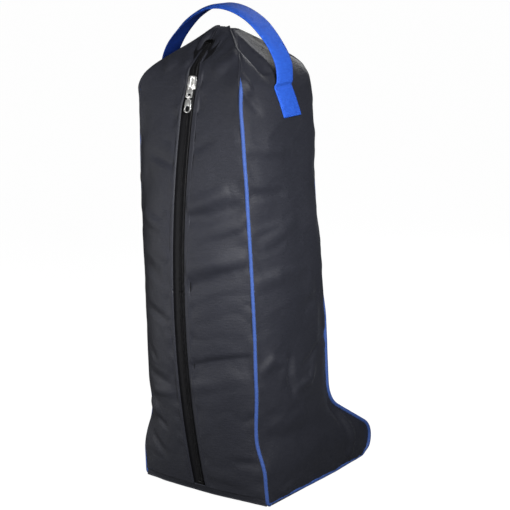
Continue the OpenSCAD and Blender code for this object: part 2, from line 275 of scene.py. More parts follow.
def mesh_object(name, points, faces, material, uvs=None):
    mesh = bpy.data.meshes.new(name)
    mesh.from_pydata((np.asarray(points, float) * MM).tolist(), [], faces)
    mesh.polygons.foreach_set("use_smooth", [True] * len(mesh.polygons))
    if uvs is not None:
        layer = mesh.uv_layers.new(name="UVMap")
        corners = np.zeros(len(mesh.loops), np.int32)
        mesh.loops.foreach_get("vertex_index", corners)
        layer.data.foreach_set("uv", (np.asarray(uvs, float) * MM)[corners].ravel())
    mesh.materials.append(material)
    mesh.validate()
    return placed(name, mesh)


def grid_normals(grid):
    """Unit normals of a grid of points, by the right-hand rule from rows to columns."""
    return unit(np.cross(np.gradient(grid, axis=0), np.gradient(grid, axis=1)))


def grid_uvs(grid):
    """Distances along the middle row and the middle column, so that a weave keeps its size."""
    rows, columns = grid.shape[:2]
    across = np.linalg.norm(np.diff(grid, axis=1), axis=2)
    u = np.concatenate([np.zeros((rows, 1)), np.cumsum(across, axis=1)], 1)
    u -= u[:, columns // 2 : columns // 2 + 1]
    v = length_along(grid[:, columns // 2])
    return np.stack([u, np.repeat(v[:, None], columns, 1)], 2)


def shell(name, grid, thickness, material, outward):
    """A closed cloth panel whose outer face is the grid. outward is 1 where the grid's normals point out."""
    rows, columns = grid.shape[:2]
    inner = grid - grid_normals(grid) * outward * thickness
    index = np.arange(rows * columns).reshape(rows, columns)
    a, b, c, d = index[:-1, :-1], index[:-1, 1:], index[1:, 1:], index[1:, :-1]
    skin = np.stack([a, d, c, b], -1).reshape(-1, 4)
    count = rows * columns
    rim = np.concatenate([index[0, :-1], index[:-1, -1], index[-1, :0:-1], index[:0:-1, 0]])
    following = np.roll(rim, -1)
    wall = np.stack([rim, following, following + count, rim + count], -1)
    faces = np.vstack([skin, skin[:, ::-1] + count, wall])
    if outward < 0:
        faces = faces[:, ::-1]
    uvs = grid_uvs(grid).reshape(-1, 2)
    points = np.vstack([grid.reshape(-1, 3), inner.reshape(-1, 3)])
    thing = mesh_object(name, points, faces.tolist(), material, np.vstack([uvs, uvs]))
    on_rim = np.zeros(2 * count, bool)
    on_rim[rim] = on_rim[rim + count] = True
    ends = np.zeros(2 * len(thing.data.edges), np.int32)
    thing.data.edges.foreach_get("vertices", ends)
    ends = ends.reshape(-1, 2)
    sharp = on_rim[ends].all(axis=1) & ((ends < count).all(axis=1) | (ends >= count).all(axis=1))
    thing.data.edges.foreach_set("use_edge_sharp", sharp)
    return thing


def ring_faces(rings, sides, turned=False):
    """The skin over a row of closed rings, with a cap at each end. turned swaps its two sides."""
    index = np.arange(rings * sides).reshape(rings, sides)
    after = np.roll(index, -1, axis=1)
    quads = np.stack([index[:-1], index[1:], after[1:], after[:-1]], -1).reshape(-1, 4)
    faces = [*quads.tolist(), index[0].tolist(), index[-1, ::-1].tolist()]
    return [[face[0], *face[:0:-1]] for face in faces] if turned else faces


def copies(faces, count):
    """The same faces again for each of several equal pieces, one after another in the list of points."""
    points = 1 + max(corner for face in faces for corner in face)
    return [[corner + points * k for corner in face] for k in range(count) for face in faces]


def around(sides):
    """Angles of the corners of a ring."""
    return np.arange(sides) * 2 * math.pi / sides


def tube(name, path, radius, material, sides):
    """A round cord along a path, closed at both ends."""
    tangent = unit(np.gradient(path, axis=0))
    first = unit(np.cross(tangent, [1.0, 0, 0]))
    second = np.cross(first, tangent)
    turn = around(sides)
    ring = np.cos(turn)[None, :, None] * first[:, None] + np.sin(turn)[None, :, None] * second[:, None]
    points = path[:, None] + ring * np.broadcast_to(radius, len(path))[:, None, None]
    uvs = np.stack(np.broadcast_arrays(turn * PIPING_R, length_along(path)[:, None]), 2).reshape(-1, 2)
    return mesh_object(name, points.reshape(-1, 3), ring_faces(len(path), sides), material, uvs)


def resample(path, step):
    """The same path with evenly spaced points."""
    run = length_along(path)
    even = np.linspace(0, run[-1], max(2, int(run[-1] / step)))
    return np.stack([np.interp(even, run, path[:, k]) for k in range(path.shape[1])], 1)


# ---- materials
def link(tree, out_socket, in_socket):
    tree.links.new(out_socket, in_socket)


def maths(tree, operation, a, b=0.0):
    """One Math node. a and b are sockets or numbers."""
    node = tree.nodes.new("ShaderNodeMath")
    node.operation = operation
    for socket, value in zip(node.inputs, (a, b)):
        if isinstance(value, bpy.types.NodeSocket):
            link(tree, value, socket)
        else:
            socket.default_value = value
    return node.outputs[0]


def mixed(tree, factor, a, b):
    """Colour between a and b."""
    node = tree.nodes.new("ShaderNodeMix")
    node.data_type = "RGBA"
    link(tree, factor, node.inputs[0])
    for socket, value in zip((node.inputs[6], node.inputs[7]), (a, b)):
        if isinstance(value, bpy.types.NodeSocket):
            link(tree, value, socket)
        else:
            socket.default_value = (*value, 1)
    return node.outputs[2]


def noise(tree, size, detail=3.0, stretch=(1, 1, 1)):
    """Noise of a given size in millimetres, fixed to the object's own coordinates."""
    coordinates = tree.nodes.new("ShaderNodeTexCoord")
    mapping = tree.nodes.new("ShaderNodeMapping")
    mapping.inputs["Scale"].default_value = [s / (size * MM) for s in stretch]
    texture = tree.nodes.new("ShaderNodeTexNoise")
    texture.inputs["Scale"].default_value = 1.0
    texture.inputs["Detail"].default_value = detail
    link(tree, coordinates.outputs["Object"], mapping.inputs[0])
    link(tree, mapping.outputs[0], texture.inputs["Vector"])
    return texture.outputs["Fac"]


def weave(tree, pitch):
    """Height of a plain weave. pitch is the yarns' spacing across the piece and along it."""
    coordinates = tree.nodes.new("ShaderNodeUVMap")
    coordinates.uv_map = "UVMap"
    parts = tree.nodes.new("ShaderNodeSeparateXYZ")
    link(tree, coordinates.outputs[0], parts.inputs[0])
    turns = [maths(tree, "MULTIPLY", flat, math.pi / (p * MM)) for flat, p in zip(parts.outputs, pitch)]
    waves = [maths(tree, "SINE", turn) for turn in turns]
    over = maths(tree, "GREATER_THAN", maths(tree, "MULTIPLY", *waves), 0.0)
    warp, weft = [maths(tree, "ABSOLUTE", wave) for wave in waves]
    raised = maths(tree, "MULTIPLY", over, maths(tree, "SUBTRACT", warp, weft))
    return maths(tree, "ADD", weft, raised)


def bumped(tree, shader, height, depth, inside=None):
    """Bump of a given depth in millimetres on the shader's normal."""
    node = tree.nodes.new("ShaderNodeBump")
    node.inputs["Strength"].default_value = 1.0
    node.inputs["Distance"].default_value = depth * MM
    link(tree, height, node.inputs["Height"])
    if inside is not None:
        link(tree, inside, node.inputs["Normal"])
    link(tree, node.outputs[0], shader.inputs["Normal"])
    return node.outputs[0]


def new_material(name, roughness, metallic=0.0):
    material = bpy.data.materials.new(name)
    material.use_nodes = True
    shader = material.node_tree.nodes["Principled BSDF"]
    shader.inputs["Roughness"].default_value = roughness
    shader.inputs["Metallic"].default_value = metallic
    return material, material.node_tree, shader


def varied(tree, value, spread, low_value, high_value):
    """A number between two values that follows a texture."""
    node = tree.nodes.new("ShaderNodeMapRange")
    link(tree, value, node.inputs["Value"])
    node.inputs["From Min"].default_value = 0.5 - spread
    node.inputs["From Max"].default_value = 0.5 + spread
    node.inputs["To Min"].default_value = low_value
    node.inputs["To Max"].default_value = high_value
    return node.outputs[0]


def cloth(name, dark, light, pitch, depth, roughness=0.6, sheen=0.3, specular=0.4, tint=(0.8, 0.85, 1.0)):
    """Woven cloth: yarns raised in turn, slight unevenness in the dye, and a soft sheen."""
    material, tree, shader = new_material(name, roughness)
    yarns = weave(tree, pitch)
    patches = noise(tree, 45.0)
    fibres = noise(tree, 0.9, 2.0)
    slubs = noise(tree, 2.2, 3.0, (0.3, 0.3, 1.0))
    worn = maths(tree, "ADD", maths(tree, "MULTIPLY", yarns, 0.35), maths(tree, "MULTIPLY", patches, 0.2))
    worn = maths(tree, "ADD", worn, maths(tree, "MULTIPLY", slubs, 0.45))
    link(tree, mixed(tree, varied(tree, worn, 0.32, 0.0, 1.0), dark, light), shader.inputs["Base Color"])
    link(tree, varied(tree, patches, 0.3, roughness - 0.07, roughness + 0.07), shader.inputs["Roughness"])
    shader.inputs["Sheen Weight"].default_value = sheen
    shader.inputs["Sheen Roughness"].default_value = 0.45
    shader.inputs["Sheen Tint"].default_value = (*tint, 1)
    shader.inputs["Specular IOR Level"].default_value = specular
    uneven = bumped(tree, shader, slubs, 0.35)
    loose = bumped(tree, shader, fibres, depth * 0.5, uneven)
    bumped(tree, shader, yarns, depth, loose)
    return material


def moulded(name, dark, light, roughness, grain, depth, metallic=0.0, specular=0.4):
    """Plastic, rubber, board or metal with a fine grain and slight wear."""
    material, tree, shader = new_material(name, roughness, metallic)
    shader.inputs["Specular IOR Level"].default_value = specular
    patches = noise(tree, 6.0)
    fine = noise(tree, grain, 2.0)
    link(tree, mixed(tree, varied(tree, patches, 0.2, 0.0, 1.0), dark, light), shader.inputs["Base Color"])
    link(tree, varied(tree, fine, 0.25, roughness - 0.06, roughness + 0.08), shader.inputs["Roughness"])
    bumped(tree, shader, fine, depth)
    return material


BODY_CLOTH = cloth(
    "body_cloth", (0.0085, 0.009, 0.0125), (0.018, 0.019, 0.026), (0.55, 0.45), 0.05,
    roughness=0.56, sheen=0.02, specular=0.2,
)
BASE_CLOTH = cloth(
    "base_cloth", (0.011, 0.011, 0.014), (0.02, 0.02, 0.025), (0.8, 0.7), 0.08, sheen=0.04, specular=0.2
)
TAPE_CLOTH = cloth(
    "zip_tape", (0.002, 0.002, 0.0025), (0.005, 0.005, 0.006), (0.45, 0.6), 0.06, sheen=0.01, specular=0.12
)
CORD_CLOTH = cloth(
    "piping", (0.023, 0.052, 0.185), (0.035, 0.077, 0.26), (0.5, 0.5), 0.06, sheen=0.05, specular=0.25
)
WEBBING = cloth(
    "webbing", (0.01, 0.044, 0.3), (0.03, 0.118, 0.58), (1.9, 0.9), 0.22, sheen=0.0, specular=0.1
)
# A darker copy of the webbing for the back faces of the strap: painted shade for the inside of the handle,
# which lies in shadow.
WEBBING_PAINTED_SHADE = cloth(
    "webbing_painted_shade", (0.003, 0.013, 0.09), (0.006, 0.024, 0.16), (1.9, 0.9), 0.22, sheen=0.0, specular=0.1
)
THREAD = cloth(
    "black_thread", (0.012, 0.012, 0.015), (0.03, 0.03, 0.036), (0.4, 0.4), 0.05, sheen=0.05, specular=0.3
)
BLUE_THREAD = cloth(
    "blue_thread", (0.012, 0.05, 0.36), (0.02, 0.08, 0.5), (0.4, 0.4), 0.05, sheen=0.05, specular=0.2
)
COIL = moulded("zip_coil", (0.002, 0.002, 0.0025), (0.005, 0.005, 0.006), 0.5, 0.5, 0.02, specular=0.14)
METAL = moulded("plated_metal", (0.78, 0.78, 0.77), (0.92, 0.91, 0.89), 0.4, 0.8, 0.003, metallic=1.0)
DARK_METAL = moulded("dark_metal", (0.02, 0.02, 0.02), (0.035, 0.035, 0.036), 0.35, 0.8, 0.012, metallic=1.0)
BOARD = moulded("grey_board", (0.03, 0.03, 0.03), (0.06, 0.06, 0.058), 0.75, 0.7, 0.08)
RUBBER = moulded("moulded_rubber", (0.007, 0.007, 0.008), (0.014, 0.014, 0.015), 0.55, 0.6, 0.03)


# ---- folds
LATTICE = 97
"""Cells after which the noise repeats."""


def lattice(u, v, seed):
    """Smooth noise from -1 to 1 over two coordinates."""
    table = np.random.RandomState(seed).uniform(-1, 1, (LATTICE, LATTICE))
    iu, iv = np.floor(u).astype(int), np.floor(v).astype(int)
    fu, fv = u - iu, v - iv
    su, sv = ease(fu), ease(fv)

    def row(j):
        corners = [table[(iu + i) % LATTICE, (iv + j) % LATTICE] for i in (0, 1)]
        return corners[0] * (1 - su) + corners[1] * su

    return row(0) * (1 - sv) + row(1) * sv


def fold(a, b, points, height, above, below=None):
    """A ridge, or a hollow if height is negative, along a line of points.
    above and below are its widths to the left of the line's direction and to the right."""
    below = below or above
    points = np.array(points, float)
    best = np.full(a.shape, 1e9)
    height_at = np.zeros(a.shape)
    lengths = np.linalg.norm(np.diff(points, axis=0), axis=1)
    total, start = lengths.sum(), 0.0
    for p, q, length in zip(points[:-1], points[1:], lengths):
        d = (q - p) / length
        t = np.clip((a - p[0]) * d[0] + (b - p[1]) * d[1], 0, length)
        da, db = a - p[0] - t * d[0], b - p[1] - t * d[1]
        away = np.hypot(da, db)
        width = np.where(d[0] * db - d[1] * da > 0, above, below)
        along = (start + t) / total
        taper = np.clip(4 * along * (1 - along), 0, 1) ** 0.6
        value = np.clip(1 - (away / width) ** 2, 0, 1) ** 2 * (0.25 + 0.75 * taper)
        nearer = away < best
        height_at = np.where(nearer, value, height_at)
        best = np.minimum(best, away)
        start += length
    return height * height_at


SEAM_GATHERS = (13, 15, 1.6)
"""Pitch, reach and height of the gathers along a corded seam."""
CRUMPLES_FROM, FOLDS_FROM, GATHERS_FROM = 25, 8, 3
"""How far from a corded seam each kind of unevenness has its full height."""
EDGE_ROLL = 3.0
"""Radius of the turned edge at a corded seam."""


def puckers(distance, along, pitch, reach, height, seed):
    """Short gathers that leave a sewn edge, fading over reach."""
    slant = along + distance * 0.25 * lattice(along / (4 * pitch), 0 * along, seed + 1)
    wave = lattice(slant / pitch, distance / reach, seed)
    return height * wave * np.exp(-((distance / reach) ** 2))


def seam_gathers(distance, along, seed):
    return puckers(distance, along, *SEAM_GATHERS, seed) * ease(distance / GATHERS_FROM)


def crumple(a, b, seed):
    """Faint unevenness all over a panel of soft cloth."""
    broad = lattice(a / 42 + 0.3 * b / 60, b / 55, seed)
    ridges = 1 - np.abs(lattice(a / 34 + b / 90, b / 26 - a / 70, seed + 2))
    return 1.3 * broad + 0.8 * ridges**2


HEEL_FOLDS = {
    RIGHT: [
        ([(12, 604), (20, 622), (22, 634)], 1.8, 8, 8),
        ([(34, 588), (52, 606), (58, 624)], -3.0, 16, 14),
        ([(14, 490), (44, 506)], 1.5, 9, 12),
        ([(12, 414), (40, 424), (70, 437)], -3.2, 17, 13),
        ([(8, 398), (45, 404), (88, 421)], 2.0, 12, 14),
        ([(26, 376), (70, 390), (104, 402)], -1.6, 15, 12),
        ([(9, 330), (50, 342), (96, 350)], -3.0, 18, 14),
        ([(8, 306), (44, 318), (74, 330)], 2.0, 12, 18),
        ([(84, 288), (106, 283)], 1.0, 7, 8),
        ([(8, 196), (42, 207), (76, 213), (104, 214)], 3.0, 8, 30),
        ([(6, 168), (44, 176)], -1.5, 10, 16),
        ([(80, 120), (103, 144)], 1.3, 8, 8),
        ([(88, 104), (106, 116)], 1.0, 6, 8),
        ([(60, 64), (108, 66)], 1.6, 9, 12),
        ([(20, 40), (70, 36)], -1.2, 16, 12),
    ],
    LEFT: [
        ([(12, 604), (20, 622), (22, 634)], 1.8, 8, 8),
        ([(40, 590), (54, 612)], -2.2, 16, 14),
        ([(62, 478), (18, 467)], 1.5, 9, 12),
        ([(38, 500), (12, 492)], 1.0, 7, 9),
        ([(76, 398), (30, 384)], -2.0, 14, 12),
        ([(80, 330), (34, 318)], 2.0, 14, 18),
        ([(78, 269), (26, 257)], 1.9, 9, 14),
        ([(80, 214), (54, 197)], 1.7, 8, 12),
        ([(74, 172), (26, 165)], 1.8, 8, 15),
        ([(72, 148), (27, 153)], -1.4, 9, 9),
        ([(90, 122), (60, 118)], -3.0, 20, 16),
        ([(70, 109), (48, 95)], 1.4, 7, 10),
        ([(86, 78), (60, 52)], 1.6, 9, 12),
    ],
}
"""Ridges and hollows of each heel panel, as (x, z) lines."""

SIDE_FOLDS = [
    ([(-92, 612), (-98, 592), (-99, 560)], 2.4, 9, 7),
    ([(-52, 632), (-55, 606), (-58, 584)], -7.5, 18, 14),
    ([(-106, 572), (-84, 538)], -2.2, 8, 10),
    ([(-108, 497), (-80, 489), (-42, 484)], 1.4, 10, 14),
    ([(-108, 432), (-80, 429), (-52, 427)], -1.9, 12, 9),
    ([(-94, 364), (-60, 374), (-34, 388)], 2.0, 12, 14),
    ([(-106, 384), (-48, 388)], 1.3, 8, 10),
    ([(-108, 314), (-70, 320), (-26, 321)], 2.2, 12, 20),
    ([(-20, 264), (24, 274)], -2.0, 14, 12),
    ([(-104, 190), (-84, 206), (-64, 196), (-64, 172)], 2.6, 10, 14),
    ([(-52, 204), (-54, 174), (-47, 148)], -3.4, 11, 10),
    ([(-34, 158), (-12, 160), (4, 176)], 2.6, 10, 12),
    ([(-24, 184), (-4, 188), (16, 202)], -2.6, 10, 9),
    ([(-98, 118), (-60, 108), (-20, 120)], 1.6, 16, 20),
    ([(72, 84), (82, 62), (84, 42), (78, 16)], 4.0, 6, 13),
    ([(40, 112), (58, 92), (70, 70)], -2.6, 12, 14),
    ([(96, 74), (102, 50), (96, 20)], -1.8, 8, 8),
    ([(-84, 14), (-56, 22)], 1.2, 8, 10),
    ([(28, 470), (36, 420), (30, 360)], -2.2, 18, 16),
    ([(12, 300), (30, 250), (28, 200)], -2.4, 16, 18),
]
"""Ridges and hollows of a side panel, as (y, z) lines."""


FOLD_DEPTH = 1.5


def creased(heights, a, b, folds, inside):
    """Heights with every fold of a list added. inside is 0 at the seams and 1 away from them."""
    for points, height, *widths in folds:
        heights = heights + FOLD_DEPTH * fold(a, b, points, height, *widths) * inside
    return heights


def folded(grid, outward, heights):
    return grid + grid_normals(grid) * outward * heights[..., None]


def rolled(grid, outward, distance, radius):
    """The panel with its edge turned in, as a quarter circle, where it is closer than radius to the seam."""
    near = np.clip(radius - distance, 0, radius)
    return folded(grid, outward, np.sqrt(np.maximum(radius**2 - near**2, 0)) - radius)


def distance_to(path, a, b):
    """Distance from each point (a, b) to a line of points."""
    a, b = np.broadcast_arrays(a, b)
    return np.min(np.hypot(a[..., None] - path[:, 0], b[..., None] - path[:, 1]), axis=-1)


def finished(thing, nodes, body=None, blended=None):
    """Parents the piece to the empty of the body that moves it, or for a piece given a bend only bakes its
    transform, and hides the CAD nodes it stands for. The bend itself is not applied.
    """
    if blended:
        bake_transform(thing)
    else:
        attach(thing, body)
    if nodes:
        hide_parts(*nodes)


# ---- side panels
PANEL_STEP = 3.0


def outline_of_side():
    """The edge of a side panel as (y, z) points, up the heel and down the front."""
    z = np.concatenate([np.linspace(BASE_Z, 90, 60), np.linspace(92, ROOF_Z - 1, 160)])
    heel = np.stack([heel_line(z), z], 1)
    front = np.stack([front_line(z), z], 1)
    floor = np.stack([np.linspace(HEEL_Y, TOE_Y, 60), np.full(60, SEAM_Z)], 1)
    return np.vstack([heel, front[::-1], floor[::-1]])


SIDE_OUTLINE = outline_of_side()


def side_folds(side):
    """The left panel has the right one's folds near the heel, mirrored and a little higher."""
    if side == RIGHT:
        return SIDE_FOLDS
    near_heel = [crease for crease in SIDE_FOLDS if crease[0][0][0] < 20]
    return [([(-54 - y, z * 0.97 + 9) for y, z in points[::-1]], *rest) for points, *rest in near_heel]


def side_panel(side):
    z = np.linspace(SEAM_Z + SEAM_IN, ROOF_Z + 1.3, int(ROOF_Z / PANEL_STEP))
    u = np.linspace(0, 1, 74)[None, :] + 0 * z[:, None]
    z = z[:, None] + 0 * u
    gap = seam_gap(z)
    y = (heel_line(z) + gap) * (1 - u) + (front_line(z) - gap) * u
    x = side_x(side, y, z)
    grid = np.stack([side * x, y, z], 2)
    outward = -side
    distance = distance_to(SIDE_OUTLINE, y, z)
    heights = crumple(y, z, 11 + side) * ease(distance / CRUMPLES_FROM)
    heights = creased(heights, y, z, side_folds(side), ease(distance / FOLDS_FROM))
    heights = heights + seam_gathers(distance, y - heel_line(z) + z, 21 + side)
    grid = folded(grid, outward, heights)
    grid = rolled(grid, outward, distance, EDGE_ROLL)
    name = "side_panel_" + SIDE_NAMES[side]
    thing = shell(name + "_cloth", grid, CLOTH_T, BODY_CLOTH, outward)
    finished(thing, [name], "bag")


# ---- front gusset
def front_path():
    """(y, z) up the middle of the front, from the base round the toe to the ridge."""
    turn = np.radians(np.linspace(-90, 90 - math.degrees(INSTEP_ANGLE), 26))
    toe = np.stack([TOE_Y + TOE_R * np.cos(turn), TOE_Z + TOE_R * np.sin(turn)], 1)
    z = np.linspace(toe[-1, 1] + 2, ROOF_Z - 1, 220)
    rest = np.stack([front_line(z), z], 1)
    ridge = np.array([[MID_Y + 4, PEAK_Z - 0.3], [MID_Y - 1, PEAK_Z], [MID_Y - 6, PEAK_Z - 0.5]])
    return resample(np.vstack([toe, rest, ridge]), PANEL_STEP)


def front_bow(z):
    low_bow = 6 * ease((z - BASE_Z) / 12)
    high_bow = (6 + 6 * ease((z - 150) / 80)) * (1 - ease((z - 520) / 90))
    return np.where(z < 150, low_bow, high_bow)


GUSSET_FOLDS = [
    ([(-60, 150), (0, 156), (64, 148)], -3.0, 14, 12),
    ([(-70, 196), (-10, 188)], 1.8, 12, 14),
    ([(74, 262), (12, 250)], 2.0, 12, 16),
    ([(-80, 330), (-14, 342), (40, 332)], -2.2, 16, 14),
    ([(84, 400), (20, 412)], 2.0, 12, 16),
    ([(-78, 470), (0, 462)], 1.8, 12, 16),
    ([(-60, 560), (0, 548), (60, 562)], -3.0, 18, 16),
    ([(70, 90), (20, 84), (-30, 92)], 1.6, 10, 12),
]


def front_gusset():
    path = front_path()
    tangent = unit(np.gradient(path, axis=0))
    u = np.linspace(-1, 1, 66)[None, :]
    y, z = path[:, :1], path[:, 1:]
    gap = seam_gap(z)
    width = front_width(y, np.minimum(z, ROOF_Z - 1)) - gap
    bow = front_bow(z) * (1 - u * u)
    x = u * width
    y, z = y + tangent[:, 1:] * bow, z - tangent[:, :1] * bow
    grid = np.stack([x, y, z], 2)
    run = np.linspace(0, len(path) * PANEL_STEP, len(path))[:, None] + 0 * u
    distance = np.minimum(width * (1 - np.abs(u)) + gap, run + SEAM_IN)
    heights = crumple(x, run, 31) * ease(distance / CRUMPLES_FROM)
    heights = creased(heights, x, z, GUSSET_FOLDS, ease(distance / FOLDS_FROM))
    heights = heights + seam_gathers(distance, run, 33)
    grid = folded(grid, 1, heights)
    grid = rolled(grid, 1, distance, EDGE_ROLL)
    thing = shell("front_gusset_cloth", grid, CLOTH_T, BODY_CLOTH, 1)
    finished(thing, ["front_gusset"], "bag")


# ---- heel panels
EDGE_X = {RIGHT: 7.4, LEFT: 13.0}
"""Distance from the middle of the zip to the folded edge of the cloth, below the slider."""
SLIDER_EDGE_X = 8.2
"""The same distance on both sides beside the slider."""
EDGE_LIFT = 0.2
HEM = {RIGHT: 5.6, LEFT: 2.6}
"""Width of the sewn hem beside the zip."""
STOP_Z = (low("zip_top_stop")[2] + high("zip_top_stop")[2]) / 2
HEEL_CROWN = {RIGHT: 2.2, LEFT: 2.8}
"""How squarely each half of the heel turns at its seam."""
HALVES = ("lower", "upper")
BENDS = {"lower": (75.0, 200.0), "upper": (400.0, 525.0)}
"""Heights between which each half of the heel bends when its flap opens."""


def bending(lower_body, upper_body, heights):
    start, end = [(0, 0, z * MM) for z in heights]
    return lower_body, upper_body, start, end


def flap_bend(side, half):
    """How half of a heel panel bends between the bag and the flap that opens with the zip."""
    flap = "flap_" + SIDE_NAMES[side]
    bodies = ("bag", flap) if half == "lower" else (flap, "bag")
    return bending(*bodies, BENDS[half])


def in_half(stations, half):
    return stations[:, 1] <= CUT_Z if half == "lower" else stations[:, 1] >= CUT_Z


def cut_stations():
    """Stations of the zip with one exactly where the halves meet."""
    stations = zip_path()
    nearest = np.argmin(np.abs(stations[:, 1] - CUT_Z))
    angle = math.asin((CUT_Z - ZIP_Z) / ZIP_R)
    stations[nearest] = [ZIP_Y - ZIP_R * math.cos(angle), CUT_Z, angle]
    return stations


STATIONS = cut_stations()


def edge_of_cloth(side, z):
    """The cloth closes over the zip above the slider."""
    beside_slider = SLIDER_EDGE_X + (EDGE_X[side] - SLIDER_EDGE_X) * (1 - ease((z - 540) / 30))
    closing = 3.6 * ease((z - 588) / 14) + 2.2 * ease((z - 604) / 22) + 2.1 * ease((z - STOP_Z) / 6)
    return beside_slider - closing


def heel_grid(side):
    """Outer face of one whole heel panel, from the zip to the heel seam."""
    middle = lifted(STATIONS, EDGE_LIFT + CLOTH_T)
    z = middle[:, 1:]
    seam = heel_width(side, z)
    gap = 0.4 * SEAM_IN if side == LEFT else seam_gap(z)
    u = np.concatenate([np.arange(0, 0.1, 0.0085), np.linspace(0.1, 0.93, 32), np.linspace(0.94, 1, 6)])
    edge = edge_of_cloth(side, z)
    x = edge + (seam - gap - edge) * u
    e = (x - edge) / (seam - edge)
    crown = e ** HEEL_CROWN[side]
    y = middle[:, :1] * (1 - crown) + heel_line(z) * crown
    z = z + 0 * x
    grid = np.stack([side * x, y, z], 2)
    to_seam, to_zip = seam - x, x - edge
    inside = ease(to_seam / FOLDS_FROM) * ease(to_zip / 6)
    near_top = ease((z - PIPING_TOP + 1) / 16)
    heights = 0.9 * crumple(x, z, 41 + side) * ease(to_seam / CRUMPLES_FROM) * ease(to_zip / 14)
    heights = creased(heights, x, z, HEEL_FOLDS[side], inside)
    heights = heights + seam_gathers(to_seam, z, 51 + side)
    heights = heights + puckers(to_zip, z, 12, 14, 2.2, 61 + side) * ease((to_zip - HEM[side]) / 3)
    heights = heights - 0.7 * bump((to_zip - HEM[side]) / 1.8) * (1 - near_top)
    grid = folded(grid, side, heights)
    over_stop = 3.0 * bump((z - STOP_Z) / 14) * bump(to_zip / 9)
    lip = 2.2 * near_top * bump((to_zip - 3.5) / 9)
    grid = folded(grid, side, lip + over_stop)
    grid = rolled(grid, side, to_seam, EDGE_ROLL)
    return rolled(grid, side, to_zip + 0.2, 1.3 + 1.2 * near_top)


def heel_panel(side):
    grid = heel_grid(side)
    nodes = {"lower": ("zip_panel_low_", "zip_panel_"), "upper": ("zip_panel_top_",)}
    for half in HALVES:
        name = "heel_cloth_" + half + "_" + SIDE_NAMES[side]
        thing = shell(name, grid[in_half(STATIONS, half)], CLOTH_T, BODY_CLOTH, side)
        stands_for = [node + SIDE_NAMES[side] for node in nodes[half]]
        finished(thing, stands_for, blended=flap_bend(side, half))


def heel_band():
    z = np.linspace(BASE_Z + 0.2, ZIP_FOOT + 0.5, 8)[:, None]
    u = np.linspace(-1, 1, 90)[None, :]
    x = (np.where(u > 0, heel_width(RIGHT, z), heel_width(LEFT, z)) - SEAM_IN) * u
    share = np.abs(u)
    out_at_top = HEEL_Y - lifted(STATIONS[:1], 1.4)[0, 0]
    bow = 5 + (out_at_top - 5) * (z - BASE_Z) / (ZIP_FOOT - BASE_Z)
    grid = np.stack([x, HEEL_Y - bow * (1 - share**2), z + 0 * x], 2)
    to_seam = (1 - share) * 100 + SEAM_IN
    to_top, to_floor = ZIP_FOOT + 1.2 - z, z - BASE_Z
    heights = puckers(to_seam, x, 9, 30, 0.4, 71) + 0.5 * lattice(x / 18, z / 9, 72) * ease(to_top / 4)
    grid = folded(grid, 1, heights)
    grid = rolled(grid, 1, np.minimum(np.minimum(to_seam, to_top), to_floor), 2.2)
    thing = shell("heel_band_cloth", grid, CLOTH_T, BODY_CLOTH, 1)
    finished(thing, ["heel_band"], "bag")


def base_panel():
    """The bottom of the bag, slightly slack between its edges."""
    y = np.linspace(HEEL_Y + 0.6, TOE_Y + 3, 80)[:, None]
    u = np.linspace(-1, 1, 62)[None, :]
    corner = 6 * (1 - ease((y - HEEL_Y) / 10)) + 2 * (1 - ease((TOE_Y - y) / 10))
    width = half_width(BASE_Z + 0 * y) - toe_narrowing(y) - 1.6 * SEAM_IN - corner
    x = u * width
    heel_bow = 4 * (1 - u * u) * ease((HEEL_Y + 20 - y) / 20)
    inside = ease((width - np.abs(x)) / 12) * ease((y - HEEL_Y) / 12) * ease((TOE_Y - y) / 12)
    z = BASE_Z + 0.3 + inside * (0.5 + 0.4 * lattice(x / 30, y / 35, 81))
    grid = np.stack([x, y - heel_bow, z], 2)
    thing = shell("base_panel_cloth", grid, 1.4, BASE_CLOTH, -1)
    finished(thing, ["base_panel"], "bag")


# ---- piping and plain seams
CORD_STEP = 2.2
SEAM_STEP = 2.5
CORNER_R = 7.0
"""Radius of the piping's turn from the heel to the base."""


def heel_seam(side, top, bottom):
    z = np.linspace(top, bottom, int(abs(top - bottom) / SEAM_STEP))
    return np.stack([side * heel_width(side, z), heel_line(z), z], 1)


def front_seam(side, bottom, top):
    z = np.linspace(bottom, top, int(abs(top - bottom) / SEAM_STEP))
    y = front_line(z)
    return np.stack([side * front_width(y, z), y, z], 1)


def seam_loop(side):
    """Centre of the piping, from its upper end over the heel, round the foot and up the front."""
    down = heel_seam(side, PIPING_TOP, SEAM_Z + CORNER_R)
    turn = np.radians(np.linspace(8, 84, 8))[:, None]
    width = heel_width(side, SEAM_Z + CORNER_R)
    corner = np.hstack([
        side * (width + 0 * turn),
        HEEL_Y + CORNER_R * (1 - np.cos(turn)),
        SEAM_Z + CORNER_R * (1 - np.sin(turn)),
    ])
    y = np.linspace(HEEL_Y + CORNER_R, TOE_Y - 8, 90)
    stray = (width - half_width(SEAM_Z)) * (1 - ease((y - HEEL_Y) / 160))
    floor_line = np.stack([side * (half_width(SEAM_Z) - toe_narrowing(y) + stray), y, SEAM_Z + 0 * y], 1)
    turn = np.radians(np.linspace(-74, 0, 16))
    toe_y, toe_z = TOE_Y + TOE_R * np.cos(turn), TOE_Z + TOE_R * np.sin(turn)
    toe = np.stack([side * (half_width(toe_z) - toe_narrowing(toe_y)), toe_y, np.maximum(SEAM_Z, toe_z)], 1)
    up = front_seam(side, TOE_Z + 2, PIPING_TOP)
    return resample(np.vstack([down, corner, floor_line, toe, up]), CORD_STEP)


